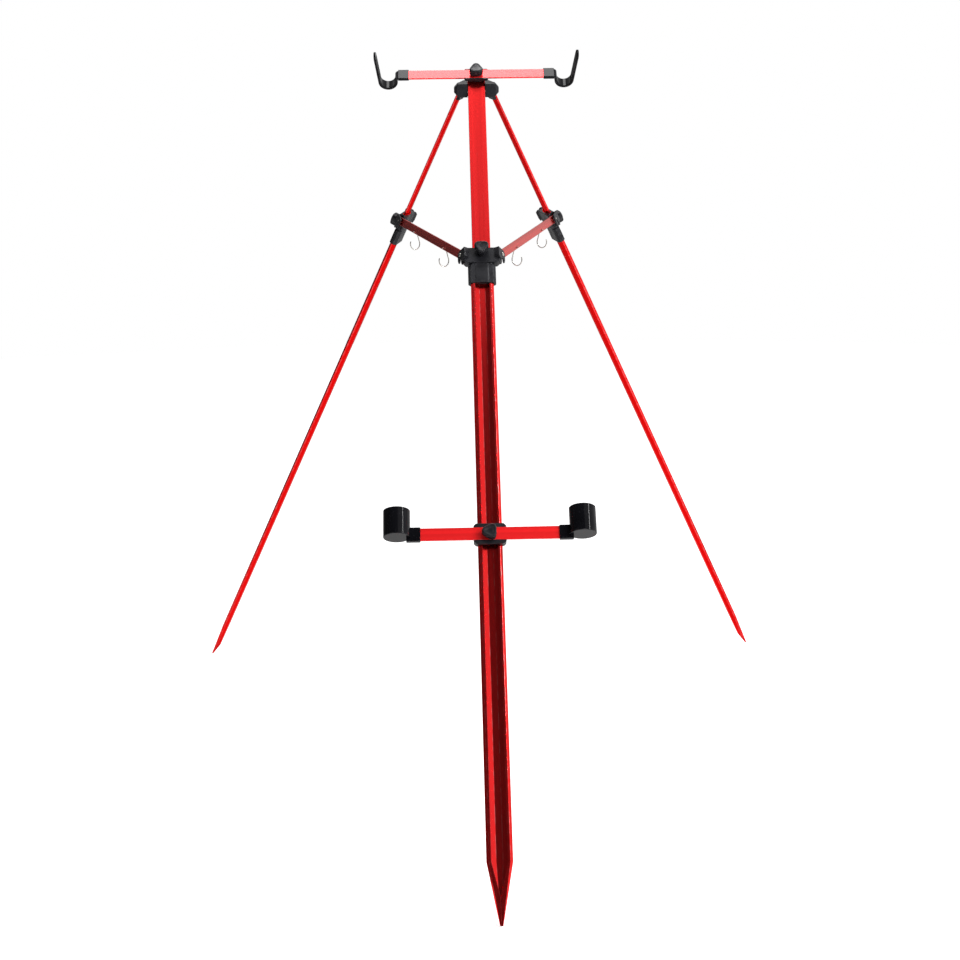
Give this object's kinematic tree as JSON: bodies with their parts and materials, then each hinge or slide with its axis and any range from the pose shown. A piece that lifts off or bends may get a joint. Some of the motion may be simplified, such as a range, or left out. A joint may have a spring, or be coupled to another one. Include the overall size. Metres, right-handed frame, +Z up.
{
  "type": "surf rod tripod",
  "caption": "Leaning folding tripod of sliding flat legs with spear feet, tied by stretchers, with a crossbar of rod hooks above and a sliding crossbar of butt cups below.",
  "frame": {"origin": "on the ground under the middle of the bounding box", "axes": "+Z up, the front leg points to -Y, the part is the same on both sides of X = 0"},
  "size_m": [1.2296, 1.3056, 1.2895],
  "materials": {
    "red_anodised": "bright red anodised",
    "black_moulded": "satin moulded black",
    "black_gloss": "glossy moulded black",
    "bright_steel": "bright plated",
    "nylon": "plain black nylon"
  },
  "bodies": {
    "hub": {"hub_body": "black_moulded", "front_leg_pin": "bright_steel", "left_leg_pin": "bright_steel", "right_leg_pin": "bright_steel"},
    "front_upper": {"front_upper_leg": "red_anodised", "front_leg_hinge": "black_moulded", "front_slide_shoe": "nylon", "front_leg_clamp": "black_moulded", "front_leg_sleeve": "black_moulded", "left_stretcher_pin": "bright_steel", "right_stretcher_pin": "bright_steel", "top_wedge": "black_moulded", "top_stud": "bright_steel", "top_nut": "bright_steel"},
    "front_lower": {"front_lower_leg": "red_anodised"},
    "front_clamp_screw": {"front_clamp_knob": "black_moulded", "front_clamp_stud": "bright_steel"},
    "left_upper": {"left_upper_leg": "red_anodised", "left_leg_hinge": "black_moulded", "left_slide_shoe": "nylon", "left_leg_clamp": "black_moulded", "left_leg_sleeve": "black_moulded"},
    "left_lower": {"left_lower_leg": "red_anodised"},
    "left_clamp_screw": {"left_clamp_knob": "black_moulded", "left_clamp_stud": "bright_steel"},
    "right_upper": {"right_upper_leg": "red_anodised", "right_leg_hinge": "black_moulded", "right_slide_shoe": "nylon", "right_leg_clamp": "black_moulded", "right_leg_sleeve": "black_moulded"},
    "right_lower": {"right_lower_leg": "red_anodised"},
    "right_clamp_screw": {"right_clamp_knob": "black_moulded", "right_clamp_stud": "bright_steel"},
    "top_bar": {"top_saddle": "black_moulded", "top_crossbar": "red_anodised", "left_rod_hook": "black_gloss", "right_rod_hook": "black_gloss"},
    "top_knob": {"top_knob": "black_moulded"},
    "carriage": {"low_saddle": "black_moulded", "low_crossbar": "red_anodised", "left_butt_cup": "black_gloss", "right_butt_cup": "black_gloss", "low_slide_nut": "bright_steel", "low_stud": "bright_steel"},
    "low_knob": {"low_knob": "black_moulded"},
    "left_stretcher": {"left_stretcher": "red_anodised", "left_stretcher_catch": "bright_steel"},
    "left_front_wire_hook": {"left_front_wire_hook": "bright_steel"},
    "left_rear_wire_hook": {"left_rear_wire_hook": "bright_steel"},
    "right_stretcher": {"right_stretcher": "red_anodised", "right_stretcher_catch": "bright_steel"},
    "right_front_wire_hook": {"right_front_wire_hook": "bright_steel"},
    "right_rear_wire_hook": {"right_rear_wire_hook": "bright_steel"}
  },
  "joints": [
    {"name": "front_leg_fold", "type": "hinge", "parent": "hub", "child": "front_upper", "pos_m": [0, 0.2233, 1.21949], "axis": [1, 0, 0], "range_deg": [0, 43]},
    {"name": "left_leg_fold", "type": "hinge", "parent": "hub", "child": "left_upper", "pos_m": [-0.01822, 0.25026, 1.22436], "axis": [-0.284, -0.9435, -0.1704], "range_deg": [0, 23.65]},
    {"name": "right_leg_fold", "type": "hinge", "parent": "hub", "child": "right_upper", "pos_m": [0.01822, 0.25026, 1.22436], "axis": [-0.284, 0.9435, 0.1704], "range_deg": [0, 23.65]},
    {"name": "front_leg_slide", "type": "slide", "parent": "front_upper", "child": "front_lower", "axis": [0, 0.5773, 0.8165], "range_m": [0, 0.245]},
    {"name": "left_leg_slide", "type": "slide", "parent": "left_upper", "child": "left_lower", "axis": [0.4128, -0.2808, 0.8665], "range_m": [0, 0.238]},
    {"name": "right_leg_slide", "type": "slide", "parent": "right_upper", "child": "right_lower", "axis": [-0.4128, -0.2808, 0.8665], "range_m": [0, 0.238]},
    {"name": "front_knob_turn", "type": "hinge", "parent": "front_upper", "child": "front_clamp_screw", "pos_m": [0, 0.00431, 0.93832], "axis": [0, -0.8165, 0.5773], "range_deg": [0, 360]},
    {"name": "left_knob_turn", "type": "hinge", "parent": "left_upper", "child": "left_clamp_screw", "pos_m": [-0.1522, 0.33458, 0.98082], "axis": [-0.8654, 0.1757, 0.4692], "range_deg": [0, 360]},
    {"name": "right_knob_turn", "type": "hinge", "parent": "right_upper", "child": "right_clamp_screw", "pos_m": [0.1522, 0.33458, 0.98082], "axis": [0.8654, 0.1757, 0.4692], "range_deg": [0, 360]},
    {"name": "left_stretcher_swing", "type": "hinge", "parent": "front_upper", "child": "left_stretcher", "pos_m": [-0.034, 0.01057, 0.929], "axis": [-0.8737, -0.3973, 0.2809], "range_deg": [0, 104.06]},
    {"name": "right_stretcher_swing", "type": "hinge", "parent": "front_upper", "child": "right_stretcher", "pos_m": [0.034, 0.01057, 0.929], "axis": [-0.8737, 0.3973, -0.2809], "range_deg": [0, 104.06]},
    {"name": "top_bar_swivel", "type": "hinge", "parent": "front_upper", "child": "top_bar", "pos_m": [0, 0.228, 1.24433], "axis": [0, -0.7039, 0.7103], "range_deg": [-30, 30]},
    {"name": "top_knob_turn", "type": "hinge", "parent": "top_bar", "child": "top_knob", "pos_m": [0, 0.22162, 1.25076], "axis": [0, -0.7039, 0.7103], "range_deg": [0, 360]},
    {"name": "carriage_slide", "type": "slide", "parent": "front_lower", "child": "carriage", "axis": [0, -0.5773, -0.8165], "range_m": [-0.13, 0.3]},
    {"name": "low_knob_turn", "type": "hinge", "parent": "carriage", "child": "low_knob", "pos_m": [0, -0.30589, 0.50304], "axis": [0, -0.8165, 0.5773], "range_deg": [0, 360]},
    {"name": "left_front_hook_swing", "type": "hinge", "parent": "left_stretcher", "child": "left_front_wire_hook", "pos_m": [-0.06498, 0.0853, 0.93832], "axis": [0.9103, 0.4139, 0], "range_deg": [-30, 70]},
    {"name": "left_rear_hook_swing", "type": "hinge", "parent": "left_stretcher", "child": "left_rear_wire_hook", "pos_m": [-0.11905, 0.22149, 0.96278], "axis": [0.9103, 0.4139, 0], "range_deg": [-30, 70]},
    {"name": "right_front_hook_swing", "type": "hinge", "parent": "right_stretcher", "child": "right_front_wire_hook", "pos_m": [0.06498, 0.0853, 0.93832], "axis": [0.9103, -0.4139, 0], "range_deg": [-30, 70]},
    {"name": "right_rear_hook_swing", "type": "hinge", "parent": "right_stretcher", "child": "right_rear_wire_hook", "pos_m": [0.11905, 0.22149, 0.96278], "axis": [0.9103, -0.4139, 0], "range_deg": [-30, 70]}
  ],
  "couplings": [
    {"joint": "left_leg_fold", "follows": "front_leg_fold", "ratio": 0.55},
    {"joint": "right_leg_fold", "follows": "front_leg_fold", "ratio": 0.55},
    {"joint": "left_stretcher_swing", "follows": "front_leg_fold", "ratio": 2.42},
    {"joint": "right_stretcher_swing", "follows": "front_leg_fold", "ratio": 2.42}
  ]
}
